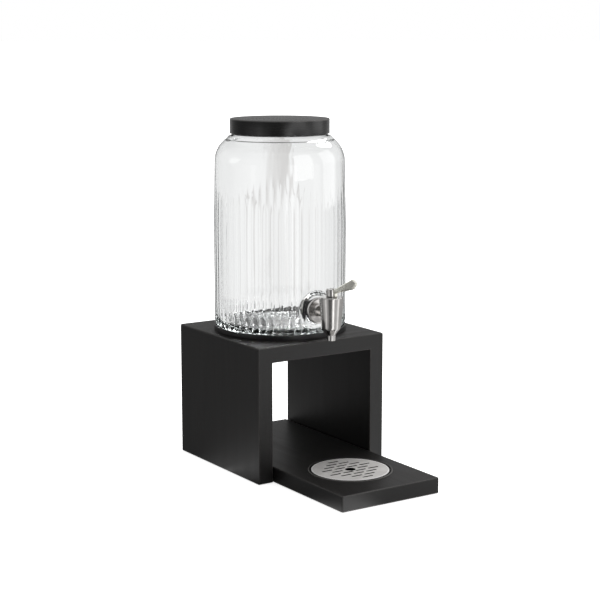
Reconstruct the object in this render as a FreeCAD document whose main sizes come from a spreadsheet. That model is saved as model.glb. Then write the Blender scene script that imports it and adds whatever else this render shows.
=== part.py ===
import FreeCAD, Part
import math
import os
import re

import Sketcher
from FreeCAD import Placement, Rotation, Vector

# A cold drink dispenser: a glass jar with a lid and a self-closing tap stands on a
# mitred wooden stand, and a loose drip board slides between the stand's two sides.
# Millimetres. +Z is up, the tap and the drip board face -Y, and the origin is at
# the middle of the whole object's footprint, at table height.

SIZES = {
    # How far a cutting shape runs past the face that it cuts.
    "over": 1,
    # Wooden stand: a top board mitred to two side boards, open front and back.
    "stand_w": 220, "stand_d": 229, "stand_top": 202, "board_t": 23.6,
    "edge_r": 1.5, "corner_r": 2.5, "pad_t": 1, "pad_r": 9, "pad_inset": 22,
    "dowel_r": 4, "dowel_len": 24, "dowel_fit": 0.05, "dowel_shift": 3, "dowel_pitch": 80,
    # Drip board, its dish and the grate in the dish.
    "overhang": 172, "drip_gap": 2.5, "drip_t": 22.6, "dish_ahead": 71.5,
    "recess_r": 58.8, "recess_deep": 14, "dish_r": 58.4, "dish_wall": 1.4,
    "dish_deep": 13, "dish_blend": 2.8, "flange_r": 61.4, "flange_t": 1.3,
    "flange_round": 0.9, "ledge_w": 2.6, "ledge_deep": 0.3,
    "grate_r": 56.4, "grate_t": 1.6, "grate_round": 0.5, "finger_r": 7.6,
    "slot_w": 3.4, "slot_len": 18, "slot_rows": 9, "slot_pitch": 10.8,
    "slot_step": 22, "slot_limit": 48, "slot_clear": 3,
    # Seat of the jar: a lipped ring let into the top board, its screws and a mat.
    "ring_r": 99.8, "ring_h": 10, "ring_base_t": 3, "ring_in_r": 55,
    "lip_t": 2.8, "lip_round": 1.1, "inset_deep": 2, "inset_gap": 0.2,
    "screw_circle": 76, "screw_r": 1.6, "screw_len": 15, "screw_fit": 0.05,
    "screw_gap": 0.2, "head_r": 3.2, "head_h": 1.8, "mat_r": 94, "mat_t": 2,
    # Glass jar, measured from its own base upwards.
    "jar_back": 115, "base_r": 99.2, "jar_r": 99.5, "belly_z": 160, "jar_h": 309.5,
    "waist_r": 97.3, "waist_z": 268.7, "slope_r": 77, "slope_z": 289,
    "neck_r": 70.5, "neck_z": 291.5, "glass_t": 4.5, "mouth_r": 65.5,
    "base_t": 8, "punt_r": 68, "punt_deep": 1.5, "heel_r": 14,
    "shoulder_r": 40, "slope_blend": 8, "rim_r": 1.5,
    "boss_r": 23, "boss_face": 101, "boss_back": 92.5, "tap_hole_r": 8, "tap_up": 40,
    # Lid and its sealing ring.
    "lid_r": 74.5, "lid_h": 22, "lid_top_t": 3.5, "skirt_t": 2, "plug_r": 64.7,
    "plug_t": 2.2, "plug_deep": 12, "lid_edge": 1.2, "seal_t": 2, "seal_in_r": 65.1,
    "seal_out_r": 71.6,
    # Tap: heights are from the axis of its shank.
    "tap_ahead": 22, "barrel_top": 25.5, "barrel_r": 18, "top_round": 1.4,
    "waist_low": 21, "low_r": 14.2, "cone_low": 31, "cone_round": 9, "spout_r": 6.8,
    "spout_low": 39, "spout_bore": 4, "spout_round": 0.6, "seat_low": 19,
    "cavity_r": 11, "cavity_top": 13, "bonnet_bore": 12.5, "thread_fit": 0.1,
    "collar_r": 7.7, "shank_r": 7, "shank_bore": 4.5, "shank_out": 1.5,
    "shank_fit": 0.05, "outer_seal_r": 19.2, "outer_seal_t": 2, "rose_r": 19.4,
    "rose_t": 3.6, "rose_dish": 1.6, "rose_rim": 2, "rose_round": 0.9,
    "inner_seal_r": 16, "inner_seal_t": 2.5, "steel_r": 15.5, "steel_t": 1.5,
    "washer_fit": 0.1, "nut_flats": 22, "nut_t": 7,
    # Valve: stem, its rings, the closing washer and the spring.
    "stem_r": 4, "stem_fit": 0.05, "head_gap": 0.3, "head_top": 37, "head_radius": 8,
    "head_round": 0.8, "slit_w": 4.4, "slit_floor": 30, "web_y": 4.3,
    "foot_low": 14, "foot_t": 2, "foot_r": 7, "stud_r": 2.2, "stud_len": 4,
    "washer_r": 8, "ring_wire": 0.65, "ring_low": 16, "ring_high": 20,
    "groove_w": 1.6, "groove_r": 2.6, "bonnet_wire": 0.9, "bonnet_groove": 2,
    "wire_r": 0.5, "coil_r": 5.7, "coil_turns": 6,
    # Lever and its pin: reach is forward of the pin, rise is above it.
    "pin_up": 33, "pin_r": 1.5, "pin_len": 15.4, "pin_press": 0.02, "pin_fit": 0.06,
    "hub_r": 2.7, "tongue_t": 4, "handle_t": 5.6, "handle_round": 2.1, "tip_round": 2.4,
    "reach": 64.5, "reach_low": 55, "reach_bend": 53, "rise_tip": 20.5, "rise_top": 25,
    "rise_low": 10.4, "root": 10, "root_top": 4.9, "root_low": -1.4, "overlap": 4,
    "nose_in": 8.2, "nose_r": 2, "nose_low": 7.35, "nose_high": 0.6,
}

doc = FreeCAD.newDocument("drink_dispenser")
sheet = doc.addObject("Spreadsheet::Sheet", "Sizes")
for row, (alias, number) in enumerate(SIZES.items(), 1):
    sheet.set(f"A{row}", alias)
    sheet.set(f"B{row}", str(number))
    sheet.setAlias(f"B{row}", alias)
doc.recompute()

# Places that several pieces share, as expressions of the sheet's cells.
FRONT = "(overhang - (stand_d + overhang) / 2)"
REAR = "((stand_d + overhang) / 2)"
TIP = "(-(stand_d + overhang) / 2)"
DRIP_TOP = "(pad_t + drip_t)"
DISH_Y = f"({FRONT} - dish_ahead)"
RING_Z = "(stand_top - inset_deep)"
MAT_Z = f"({RING_Z} + ring_base_t)"
JAR_Y = f"({FRONT} + jar_back)"
JAR_Z = f"({MAT_Z} + mat_t)"
TAP_Y = f"({FRONT} - tap_ahead)"
TAP_Z = f"({JAR_Z} + tap_up)"
BOSS_Y = f"({JAR_Y} - boss_face)"
LAND_Y = f"({JAR_Y} - boss_back)"
UPRIGHT = Rotation()
FORWARD = Rotation(Vector(1, 0, 0), 90)
BACKWARD = Rotation(Vector(1, 0, 0), -90)
SIDEWAYS = Rotation(Vector(0, 1, 0), 90)


def sized(text):
    """The expression with each alias named as a cell of the sheet."""
    names = {name for name in re.findall(r"[a-z_]+", text) if name in SIZES}
    for name in sorted(names, key=len, reverse=True):
        text = re.sub(rf"(?<![\w.]){name}\b", f"Sizes.{name}", text)
    return text


def value(text):
    return float(sheet.evalExpression(sized(text)))


def bind(thing, **sizes):
    """Drives the named properties from the sheet."""
    for name, text in sizes.items():
        thing.setExpression(name, sized(text))
    return thing


def place(thing, where=("0", "0", "0"), turn=UPRIGHT):
    """Sets an object down: its turn is fixed and its position comes from the sheet."""
    thing.Placement = Placement(Vector(*[value(text) for text in where]), turn)
    for axis, text in zip("xyz", where):
        thing.setExpression(f"Placement.Base.{axis}", sized(text))
    return thing


def solid(kind, name, where=("0", "0", "0"), turn=UPRIGHT, **sizes):
    thing = doc.addObject(f"Part::{kind}", name)
    bind(thing, **sizes)
    return place(thing, where, turn)


def joined(kind, label, pieces):
    """A cut, a fuse or a group of pieces under one label."""
    thing = doc.addObject(f"Part::{kind}", label)
    if kind == "Cut":
        thing.Base, thing.Tool = pieces
    elif kind == "Compound":
        thing.Links = pieces
    else:
        thing.Shapes = pieces
    return thing


def tube(label, outer, inner, height, where, turn=UPRIGHT):
    """A round washer, ring or disc with a hole."""
    disc = solid("Cylinder", label + "_disc", Radius=outer, Height=height)
    size = {"Radius": inner, "Height": f"{height} + 2 * over"}
    hole = solid("Cylinder", label + "_hole", ("0", "0", "-over"), **size)
    return place(joined("Cut", label, (disc, hole)), where, turn)


def new_body(label, where, turn=UPRIGHT):
    return place(doc.addObject("PartDesign::Body", label), where, turn)


def plane(body, role):
    return next(item for item in body.Origin.OriginFeatures if item.Role == role)


def circle_arc(start, end, radius, turn):
    """The minor arc from start to end, counter-clockwise if turn is 1."""
    middle = (start + end) * 0.5
    chord = end - start
    across = Vector(-chord.y, chord.x, 0).normalize()
    rise = math.sqrt(radius**2 - (chord.Length / 2) ** 2)
    centre = middle + across * rise * turn
    first, last = (start, end) if turn > 0 else (end, start)
    a, b = [math.atan2(p.y - centre.y, p.x - centre.x) for p in (first, last)]
    return Part.ArcOfCircle(Part.Circle(centre, Vector(0, 0, 1), radius), a, b)


def outline(body, name, role, points):
    """A closed outline. A point is a pair of expressions, and a third and fourth entry
    make the side that leaves it an arc: its radius, and 1 or -1 for its turn."""
    sketch = body.newObject("Sketcher::SketchObject", name)
    sketch.AttachmentSupport = [(plane(body, role), "")]
    sketch.MapMode = "FlatFace"
    spots = [Vector(value(p[0]), value(p[1]), 0) for p in points]
    starts, ends = [], []
    for i, point in enumerate(points):
        here, there = spots[i], spots[(i + 1) % len(spots)]
        if len(point) == 2:
            sketch.addGeometry(Part.LineSegment(here, there), False)
            starts.append(1)
            ends.append(2)
            continue
        sketch.addGeometry(circle_arc(here, there, value(point[2]), point[3]), False)
        starts.append(1 if point[3] > 0 else 2)
        ends.append(2 if point[3] > 0 else 1)
    for i in range(len(points)):
        j = (i + 1) % len(points)
        sketch.addConstraint(Sketcher.Constraint("Coincident", i, ends[i], j, starts[j]))
    for i, point in enumerate(points):
        for kind, text in zip(("DistanceX", "DistanceY"), point):
            index = sketch.addConstraint(
                Sketcher.Constraint(kind, -1, 1, i, starts[i], value(text))
            )
            sketch.setExpression(f"Constraints[{index}]", sized(text))
        if len(point) > 2:
            index = sketch.addConstraint(Sketcher.Constraint("Radius", i, value(point[2])))
            sketch.setExpression(f"Constraints[{index}]", sized(point[2]))
    return sketch


def spun(body, name, points, cut=False):
    """An outline in the plane of X and Z, turned about the body's own Z axis."""
    sketch = outline(body, name + "_outline", "XZ_Plane", points)
    kind = "Groove" if cut else "Revolution"
    feature = body.newObject(f"PartDesign::{kind}", name)
    feature.Profile = sketch
    feature.ReferenceAxis = (sketch, ["V_Axis"])
    feature.Angle = 360
    doc.recompute()
    return feature


def padded(body, name, role, points, length, both=False):
    sketch = outline(body, name + "_outline", role, points)
    feature = body.newObject("PartDesign::Pad", name)
    feature.Profile = sketch
    feature.Midplane = both
    bind(feature, Length=length)
    doc.recompute()
    return feature


def rounded(body, name, edges, radius):
    """Rounds the chosen edges of the body's last feature; edges picks them."""
    tip = body.Tip
    names = [f"Edge{i}" for i, edge in enumerate(tip.Shape.Edges, 1) if edges(edge)]
    fillet = body.newObject("PartDesign::Fillet", name)
    fillet.Base = (tip, names)
    bind(fillet, Radius=radius)
    doc.recompute()
    return fillet


def rim(radius, level):
    """Picks the circular edge of a radius at a level of the body's own Z."""
    wanted_r, wanted_z = value(radius), value(level)

    def found(edge):
        curve = edge.Curve
        if not hasattr(curve, "Radius"):
            return False
        flat = abs(abs(curve.Axis.z) - 1) < 1e-6
        near = abs(curve.Radius - wanted_r) < 1e-3 and abs(curve.Center.z - wanted_z) < 1e-3
        return flat and near

    return found


def primitive(body, kind, name, where, turn=UPRIGHT, **sizes):
    """An additive or subtractive primitive inside a body."""
    feature = body.newObject(f"PartDesign::{kind}", name)
    bind(feature, **sizes)
    place(feature, where, turn)
    doc.recompute()
    return feature


def box_in(body, name, low, size):
    """Cuts a square-cornered box out of a body."""
    sizes = dict(zip(("Length", "Width", "Height"), size))
    return primitive(body, "SubtractiveBox", name, low, **sizes)


# ---------------------------------------------------------------- wooden stand

DOWEL_ROWS = ["stand_d / 2 - dowel_pitch", "stand_d / 2", "stand_d / 2 + dowel_pitch"]
CORNER_BOW = f"corner_r * {1 - math.sqrt(0.5)}"


def dowel_spots(side):
    """The lower end of each corner dowel, which crosses the mitre square to it."""
    middle = "(board_t / 2 + dowel_shift / 2)"
    half = f"(dowel_len / 2 * {math.sqrt(0.5)})"
    x = f"{side} * (stand_w / 2 - {middle} + {half})"
    z = f"stand_top - {middle} - {half}"
    turn = Rotation(Vector(0, 1, 0), -45 * side)
    return [((x, f"{REAR} - ({row})", z), turn) for row in DOWEL_ROWS]


def drill_dowels(body, origin, side):
    """Dowel holes in a board whose own origin is at the given place."""
    for i, (spot, turn) in enumerate(dowel_spots(side)):
        where = [f"({a}) - ({b})" for a, b in zip(spot, origin)]
        name = f"{body.Name}_dowel_hole_{side + 1}{i}"
        sizes = {"Radius": "dowel_r + dowel_fit", "Height": "dowel_len"}
        primitive(body, "SubtractiveCylinder", name, where, turn, **sizes)


def long_front_edges(depth):
    """Picks straight edges of the front and back faces, apart from mitre lines."""
    ends = (0.0, -value(depth))

    def found(edge):
        a, b = edge.Vertexes[0].Point, edge.Vertexes[-1].Point
        on_face = any(abs(a.y - y) < 1e-3 and abs(b.y - y) < 1e-3 for y in ends)
        slanted = abs(a.x - b.x) > 4 and abs(a.z - b.z) > 4
        return on_face and not slanted

    return found


def side_board(label, side):
    """A side board with its top mitred and the outer corner softened."""
    origin = (f"{side} * stand_w / 2", REAR, "0")
    body = new_body(label, origin)
    inner = f"-{side} * board_t"
    tall = "(stand_top - board_t)"
    outer_turn = 1 if side > 0 else -1
    points = [
        ("0", "pad_t"),
        ("0", "stand_top - corner_r", "corner_r", outer_turn),
        (f"-{side} * {CORNER_BOW}", f"stand_top - {CORNER_BOW}"),
        (inner, tall),
        (inner, "pad_t"),
    ]
    padded(body, label + "_pad", "XZ_Plane", points, "stand_d")
    rounded(body, label + "_edges", long_front_edges("stand_d"), "edge_r")
    drill_dowels(body, origin, side)
    return body


def top_board():
    """The top board, mitred at both ends, with the seat let into it."""
    origin = ("0", REAR, "0")
    body = new_body("top_board", origin)
    edge = f"(stand_w / 2 - {CORNER_BOW})"
    points = [
        (f"-{edge}", f"stand_top - {CORNER_BOW}", "corner_r", -1),
        ("-(stand_w / 2 - corner_r)", "stand_top"),
        ("stand_w / 2 - corner_r", "stand_top", "corner_r", -1),
        (edge, f"stand_top - {CORNER_BOW}"),
        ("stand_w / 2 - board_t", "stand_top - board_t"),
        ("-(stand_w / 2 - board_t)", "stand_top - board_t"),
    ]
    padded(body, "top_board_pad", "XZ_Plane", points, "stand_d")
    rounded(body, "top_board_edges", long_front_edges("stand_d"), "edge_r")
    for side in (-1, 1):
        drill_dowels(body, origin, side)
    seat = ("0", f"{JAR_Y} - {REAR}", RING_Z)
    sizes = {"Radius": "ring_r + inset_gap", "Height": "inset_deep + over"}
    primitive(body, "SubtractiveCylinder", "seat_recess", seat, **sizes)
    for i, (x, y) in enumerate(screw_spots()):
        where = (x, f"{y} + {JAR_Y} - {REAR}", f"{RING_Z} - screw_len")
        sizes = {"Radius": "screw_r", "Height": "screw_len + over"}
        primitive(body, "SubtractiveCylinder", f"pilot_hole_{i}", where, **sizes)
    return body


def screw_spots():
    """The screws that hold the seat ring, about the jar's axis."""
    angles = [math.radians(90 + 120 * i) for i in range(3)]
    return [(f"screw_circle * {math.cos(a):.6f}", f"screw_circle * {math.sin(a):.6f}") for a in angles]


def corner_dowels():
    pegs = []
    for side in (-1, 1):
        for i, (spot, turn) in enumerate(dowel_spots(side)):
            name = f"dowel_{side + 1}{i}"
            pegs.append(solid("Cylinder", name, spot, turn, Radius="dowel_r", Height="dowel_len"))
    return joined("Compound", "corner_dowels", pegs)


def foot_pads(label, xs, ys):
    """Round self-adhesive rubber pads under a board."""
    pads = []
    for i, x in enumerate(xs):
        for k, y in enumerate(ys):
            name = f"{label}_{i}{k}"
            pads.append(solid("Cylinder", name, (x, y, "0"), Radius="pad_r", Height="pad_t"))
    return joined("Compound", label, pads)


# ---------------------------------------------------- seat ring, screws and mat

def seat_ring():
    body = new_body("seat_ring", ("0", JAR_Y, RING_Z))
    points = [
        ("ring_in_r", "0"),
        ("ring_r", "0"),
        ("ring_r", "ring_h"),
        ("ring_r - lip_t", "ring_h"),
        ("ring_r - lip_t", "ring_base_t"),
        ("ring_in_r", "ring_base_t"),
    ]
    spun(body, "seat_ring_turned", points)
    lip = [rim("ring_r", "ring_h"), rim("ring_r - lip_t", "ring_h")]
    rounded(body, "seat_ring_lip", lambda e: any(pick(e) for pick in lip), "lip_round")
    for i, (x, y) in enumerate(screw_spots()):
        hole = {"Radius": "screw_r + screw_gap", "Height": "ring_base_t + 2 * over"}
        primitive(body, "SubtractiveCylinder", f"ring_hole_{i}", (x, y, "-over"), **hole)
        wide = {"Radius1": "screw_r + screw_gap", "Radius2": "head_r + screw_gap"}
        where = (x, y, "ring_base_t - head_h")
        primitive(body, "SubtractiveCone", f"ring_sink_{i}", where, Height="head_h", **wide)
    return body


def ring_screws():
    screws = []
    for i, (x, y) in enumerate(screw_spots()):
        y = f"{y} + {JAR_Y}"
        top = f"{RING_Z} + ring_base_t - screw_gap"
        cone = {"Radius1": "screw_r", "Radius2": "head_r", "Height": "head_h"}
        head = solid("Cone", f"screw_head_{i}", (x, y, f"{top} - head_h"), **cone)
        size = {"Radius": "screw_r - screw_fit", "Height": "screw_len"}
        shank = solid("Cylinder", f"screw_shank_{i}", (x, y, f"{top} - screw_len"), **size)
        screws.append(joined("MultiFuse", f"screw_{i}", [head, shank]))
    return joined("Compound", "ring_screws", screws)


def jar_mat():
    size = {"Radius": "mat_r", "Height": "mat_t"}
    return solid("Cylinder", "jar_mat", ("0", JAR_Y, MAT_Z), **size)


# ------------------------------------------------------- drip board and its dish

def drip_board():
    """One long board that lies between the sides and carries the dish in front."""
    body = new_body("drip_board", ("0", REAR, "0"))
    half = "(stand_w / 2 - board_t - drip_gap)"
    points = [
        (f"-{half}", "pad_t"),
        (half, "pad_t"),
        (half, DRIP_TOP),
        (f"-{half}", DRIP_TOP),
    ]
    length = "stand_d + overhang"
    padded(body, "drip_board_pad", "XZ_Plane", points, length)
    top = value(DRIP_TOP)

    def upper(edge):
        return all(abs(v.Point.z - top) < 1e-3 for v in edge.Vertexes)

    def corner(edge):
        a, b = edge.Vertexes[0].Point, edge.Vertexes[-1].Point
        return abs(a.z - b.z) > 1

    rounded(body, "drip_board_corners", corner, "corner_r")
    rounded(body, "drip_board_edges", upper, "edge_r")
    where = ("0", f"{DISH_Y} - {REAR}", f"{DRIP_TOP} - recess_deep")
    sizes = {"Radius": "recess_r", "Height": "recess_deep + over"}
    primitive(body, "SubtractiveCylinder", "dish_recess", where, **sizes)
    return body


def drip_dish():
    """A turned dish whose flange lies on the board; a ledge inside holds the grate."""
    body = new_body("drip_dish", ("0", DISH_Y, DRIP_TOP))
    inner = "(dish_r - dish_wall)"
    ledge = f"({inner} - ledge_w)"
    points = [
        ("0", "-dish_deep"),
        (f"{ledge} + dish_wall", "-dish_deep"),
        (f"{ledge} + dish_wall", "-ledge_deep - dish_wall"),
        ("dish_r", "-ledge_deep - dish_wall"),
        ("dish_r", "0"),
        ("flange_r", "0"),
        ("flange_r", "flange_t"),
        (inner, "flange_t"),
        (inner, "-ledge_deep"),
        (ledge, "-ledge_deep"),
        (ledge, "dish_wall - dish_deep"),
        ("0", "dish_wall - dish_deep"),
    ]
    spun(body, "dish_turned", points)
    rounded(body, "dish_flange_edge", rim("flange_r", "flange_t"), "flange_round")
    rounded(body, "dish_floor_blend", rim(ledge, "dish_wall - dish_deep"), "dish_blend")
    return body


def slot_spots():
    """Slot centres, in rows set like bricks, that clear the rim and the finger hole."""
    reach = value("slot_limit")
    half = value("slot_len") / 2
    clear = value("finger_r + slot_clear")
    rows = int(value("slot_rows"))
    spots = []
    for row in range(rows):
        along = row - (rows - 1) / 2
        y = along * value("slot_pitch")
        for column in range(-2, 3):
            across = column + 0.5 * (row % 2)
            x = across * value("slot_step")
            far = math.hypot(abs(x) + half, y)
            near = math.hypot(max(0, abs(x) - half), y)
            if far < reach and near > clear:
                spots.append((across, along))
    return spots


def drip_grate():
    """A flat stainless disc with a finger hole and rows of round-ended slots."""
    body = new_body("drip_grate", ("0", DISH_Y, f"{DRIP_TOP} - ledge_deep"))
    points = [
        ("finger_r", "0"),
        ("grate_r", "0"),
        ("grate_r", "grate_t"),
        ("finger_r", "grate_t"),
    ]
    spun(body, "grate_disc", points)
    edges = [rim("grate_r", "grate_t"), rim("finger_r", "grate_t")]
    rounded(body, "grate_rims", lambda e: any(pick(e) for pick in edges), "grate_round")
    straight = "(slot_len - slot_w)"
    for i, (across, along) in enumerate(slot_spots()):
        x, y = f"({across} * slot_step)", f"({along} * slot_pitch)"
        low = (f"{x} - {straight} / 2", f"{y} - slot_w / 2", "-over")
        box_in(body, f"slot_{i}", low, (straight, "slot_w", "grate_t + 2 * over"))
        for k, end in enumerate((-1, 1)):
            where = (f"{x} + {end} * {straight} / 2", y, "-over")
            sizes = {"Radius": "slot_w / 2", "Height": "grate_t + 2 * over"}
            primitive(body, "SubtractiveCylinder", f"slot_end_{i}_{k}", where, **sizes)
    return body


# ------------------------------------------------------------ glass jar and lid

def jar():
    """The jar: a heavy base, a nearly straight wall, a round shoulder and a neck."""
    body = new_body("jar", ("0", JAR_Y, JAR_Z))
    outer = [
        ("0", "punt_deep"),
        ("punt_r - punt_deep", "punt_deep"),
        ("punt_r", "0"),
        ("base_r", "0"),
        ("jar_r", "belly_z"),
        ("waist_r", "waist_z"),
        ("slope_r", "slope_z"),
        ("neck_r", "neck_z"),
        ("neck_r", "jar_h"),
        ("0", "jar_h"),
    ]
    spun(body, "jar_blown", outer)
    for name, radius, level, size in (
        ("jar_heel", "base_r", "0", "heel_r"),
        ("jar_shoulder", "waist_r", "waist_z", "shoulder_r"),
        ("jar_slope", "slope_r", "slope_z", "slope_blend"),
        ("jar_rim", "neck_r", "jar_h", "rim_r"),
    ):
        rounded(body, name, rim(radius, level), size)
    within = f"glass_t * {math.sqrt(2):.6f}"
    shoulder_z = f"(slope_r + slope_z - {within} - waist_r + glass_t)"
    neck_base = f"(slope_r + slope_z - {within} - mouth_r)"
    inner = [
        ("0", "base_t"),
        ("base_r - glass_t", "base_t"),
        ("jar_r - glass_t", "belly_z"),
        ("waist_r - glass_t", shoulder_z),
        ("mouth_r", neck_base),
        ("mouth_r", "jar_h + over"),
        ("0", "jar_h + over"),
    ]
    spun(body, "jar_cavity", inner, cut=True)
    for name, radius, level, size in (
        ("cavity_heel", "base_r - glass_t", "base_t", "heel_r - glass_t"),
        ("cavity_shoulder", "waist_r - glass_t", shoulder_z, "shoulder_r - glass_t"),
        ("cavity_neck", "mouth_r", neck_base, "slope_blend"),
        ("cavity_rim", "mouth_r", "jar_h", "rim_r"),
    ):
        rounded(body, name, rim(radius, level), size)
    size = {"Radius": "boss_r", "Height": "boss_face - boss_back"}
    boss = ("0", "-boss_back", "tap_up")
    primitive(body, "AdditiveCylinder", "tap_boss", boss, FORWARD, **size)
    size = {"Radius": "tap_hole_r", "Height": "boss_face - boss_back + 2 * over"}
    hole = ("0", "over - boss_back", "tap_up")
    primitive(body, "SubtractiveCylinder", "tap_hole", hole, FORWARD, **size)
    return body


def lid():
    """A moulded lid: an outer skirt over the neck and an inner skirt in the mouth."""
    body = new_body("lid", ("0", JAR_Y, f"{JAR_Z} + jar_h + seal_t + lid_top_t - lid_h"))
    ceiling = "(lid_h - lid_top_t)"
    points = [
        ("0", ceiling),
        ("plug_r - plug_t", ceiling),
        ("plug_r - plug_t", f"{ceiling} - plug_deep"),
        ("plug_r", f"{ceiling} - plug_deep"),
        ("plug_r", ceiling),
        ("lid_r - skirt_t", ceiling),
        ("lid_r - skirt_t", "0"),
        ("lid_r", "0"),
        ("lid_r", "lid_h"),
        ("0", "lid_h"),
    ]
    spun(body, "lid_moulded", points)
    rounded(body, "lid_top_edge", rim("lid_r", "lid_h"), "lid_edge")
    rounded(body, "lid_lower_edge", rim("lid_r", "0"), "lid_edge / 2")
    return body


def lid_seal():
    where = ("0", JAR_Y, f"{JAR_Z} + jar_h")
    return tube("lid_seal", "seal_out_r", "seal_in_r", "seal_t", where)


# ------------------------------------------------------------------ tap housing

def tap_body():
    """Barrel, spout and threaded shank in one casting, bored for the valve."""
    body = new_body("tap_body", ("0", TAP_Y, TAP_Z))
    barrel = [
        ("0", "-spout_low"),
        ("spout_r", "-spout_low"),
        ("spout_r", "-cone_low"),
        ("low_r", "-waist_low"),
        ("barrel_r", "barrel_top"),
        ("0", "barrel_top"),
    ]
    spun(body, "barrel", barrel)
    for name, radius, level, size in (
        ("barrel_shoulder", "low_r", "-waist_low", "cone_round"),
        ("barrel_top_edge", "barrel_r", "barrel_top", "top_round"),
        ("spout_lip", "spout_r", "-spout_low", "spout_round"),
    ):
        rounded(body, name, rim(radius, level), size)
    collar = f"({BOSS_Y} - outer_seal_t - rose_t - {TAP_Y})"
    size = {"Radius": "collar_r", "Height": collar}
    primitive(body, "AdditiveCylinder", "collar", ("0", "0", "0"), BACKWARD, **size)
    length = f"({LAND_Y} + inner_seal_t + steel_t + nut_t + shank_out - {TAP_Y})"
    size = {"Radius": "shank_r", "Height": length}
    primitive(body, "AdditiveCylinder", "shank", ("0", "0", "0"), BACKWARD, **size)
    inside = [
        ("0", "-seat_low"),
        ("cavity_r", "-seat_low"),
        ("cavity_r", "cavity_top"),
        ("bonnet_bore", "cavity_top"),
        ("bonnet_bore", "barrel_top + over"),
        ("0", "barrel_top + over"),
    ]
    spun(body, "valve_chamber", inside, cut=True)
    size = {"Radius": "spout_bore", "Height": "spout_low"}
    primitive(body, "SubtractiveCylinder", "spout_way", ("0", "0", "-spout_low - over"), **size)
    size = {"Radius": "shank_bore", "Height": f"{length} + over"}
    primitive(body, "SubtractiveCylinder", "inlet_way", ("0", "0", "0"), BACKWARD, **size)
    return body


def tap_rose():
    """The dished steel rose that covers the outer seal."""
    body = new_body("tap_rose", ("0", f"{BOSS_Y} - outer_seal_t", TAP_Z), FORWARD)
    points = [
        ("shank_r + shank_fit", "0"),
        ("rose_r", "0"),
        ("rose_r", "rose_t"),
        ("rose_r - rose_rim", "rose_t"),
        ("collar_r + rose_dish", "rose_t - rose_dish"),
        ("collar_r", "rose_t"),
        ("shank_r + shank_fit", "rose_t"),
    ]
    spun(body, "rose_turned", points)
    rounded(body, "rose_edge", rim("rose_r", "rose_t"), "rose_round")
    return body


def clamp_nut():
    """The hexagon nut inside the jar that draws the seals together."""
    corner = f"nut_flats / {math.sqrt(3):.6f}"
    blank = solid("Prism", "nut_blank", Circumradius=corner, Height="nut_t")
    blank.Polygon = 6
    size = {"Radius": "shank_r + shank_fit", "Height": "nut_t + 2 * over"}
    bore = solid("Cylinder", "nut_bore", ("0", "0", "-over"), **size)
    where = ("0", f"{LAND_Y} + inner_seal_t + steel_t", TAP_Z)
    return place(joined("Cut", "clamp_nut", (blank, bore)), where, BACKWARD)


def shank_washers():
    """The seals on both sides of the glass and the steel washer under the nut."""
    inner = "shank_r + washer_fit"
    tube("outer_seal", "outer_seal_r", inner, "outer_seal_t", ("0", BOSS_Y, TAP_Z), FORWARD)
    tube("inner_seal", "inner_seal_r", inner, "inner_seal_t", ("0", LAND_Y, TAP_Z), BACKWARD)
    where = ("0", f"{LAND_Y} + inner_seal_t", TAP_Z)
    tube("steel_washer", "steel_r", inner, "steel_t", where, BACKWARD)


# -------------------------------------------------------------------- tap valve

def tap_bonnet():
    """The plug that closes the barrel and guides the stem."""
    body = new_body("tap_bonnet", ("0", TAP_Y, TAP_Z))
    bore, outer = "stem_r + stem_fit", "bonnet_bore - thread_fit"
    low, high = "(ring_low - bonnet_groove / 2)", "(ring_low + bonnet_groove / 2)"
    points = [
        (bore, "cavity_top"),
        (outer, "cavity_top"),
        (outer, low),
        ("bonnet_bore - bonnet_groove", low),
        ("bonnet_bore - bonnet_groove", high),
        (outer, high),
        (outer, "barrel_top"),
        (bore, "barrel_top"),
    ]
    spun(body, "bonnet_turned", points)
    return body


def bonnet_o_ring():
    sizes = {"Radius1": "bonnet_bore - bonnet_wire - stem_fit", "Radius2": "bonnet_wire"}
    return solid("Torus", "bonnet_o_ring", ("0", TAP_Y, f"{TAP_Z} + ring_low"), **sizes)


def valve_stem():
    """The stem: a slit head for the lever, a shaft and a foot for the spring."""
    body = new_body("valve_stem", ("0", TAP_Y, TAP_Z))
    low, high = "(ring_low - groove_w / 2)", "(ring_low + groove_w / 2)"
    low_two, high_two = "(ring_high - groove_w / 2)", "(ring_high + groove_w / 2)"
    points = [
        ("0", "-foot_low - stud_len"),
        ("stud_r", "-foot_low - stud_len"),
        ("stud_r", "-foot_low"),
        ("foot_r", "-foot_low"),
        ("foot_r", "foot_t - foot_low"),
        ("stem_r", "foot_t - foot_low"),
        ("stem_r", low),
        ("groove_r", low),
        ("groove_r", high),
        ("stem_r", high),
        ("stem_r", low_two),
        ("groove_r", low_two),
        ("groove_r", high_two),
        ("stem_r", high_two),
        ("stem_r", "barrel_top + head_gap"),
        ("head_radius", "barrel_top + head_gap"),
        ("head_radius", "head_top"),
        ("0", "head_top"),
    ]
    spun(body, "stem_turned", points)
    rounded(body, "stem_head_edge", rim("head_radius", "head_top"), "head_round")
    left, front = "-slit_w / 2", "-head_radius - over"
    above = "head_top + over - slit_floor"
    box_in(body, "slit", (left, front, "slit_floor"), ("slit_w", "2 * (head_radius + over)", above))
    low = (left, front, "barrel_top")
    box_in(body, "slit_front", low, ("slit_w", "head_radius + over - web_y", above))
    size = {"Radius": "pin_r + pin_press", "Height": "2 * (head_radius + over)"}
    where = (front, "0", "pin_up")
    primitive(body, "SubtractiveCylinder", "pin_hole", where, SIDEWAYS, **size)
    return body


def stem_o_rings():
    rings = []
    for i, level in enumerate(("ring_low", "ring_high")):
        where = ("0", TAP_Y, f"{TAP_Z} + {level}")
        sizes = {"Radius1": "stem_r - ring_wire", "Radius2": "ring_wire"}
        rings.append(solid("Torus", f"stem_ring_{i}", where, **sizes))
    return joined("Compound", "stem_o_rings", rings)


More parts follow.
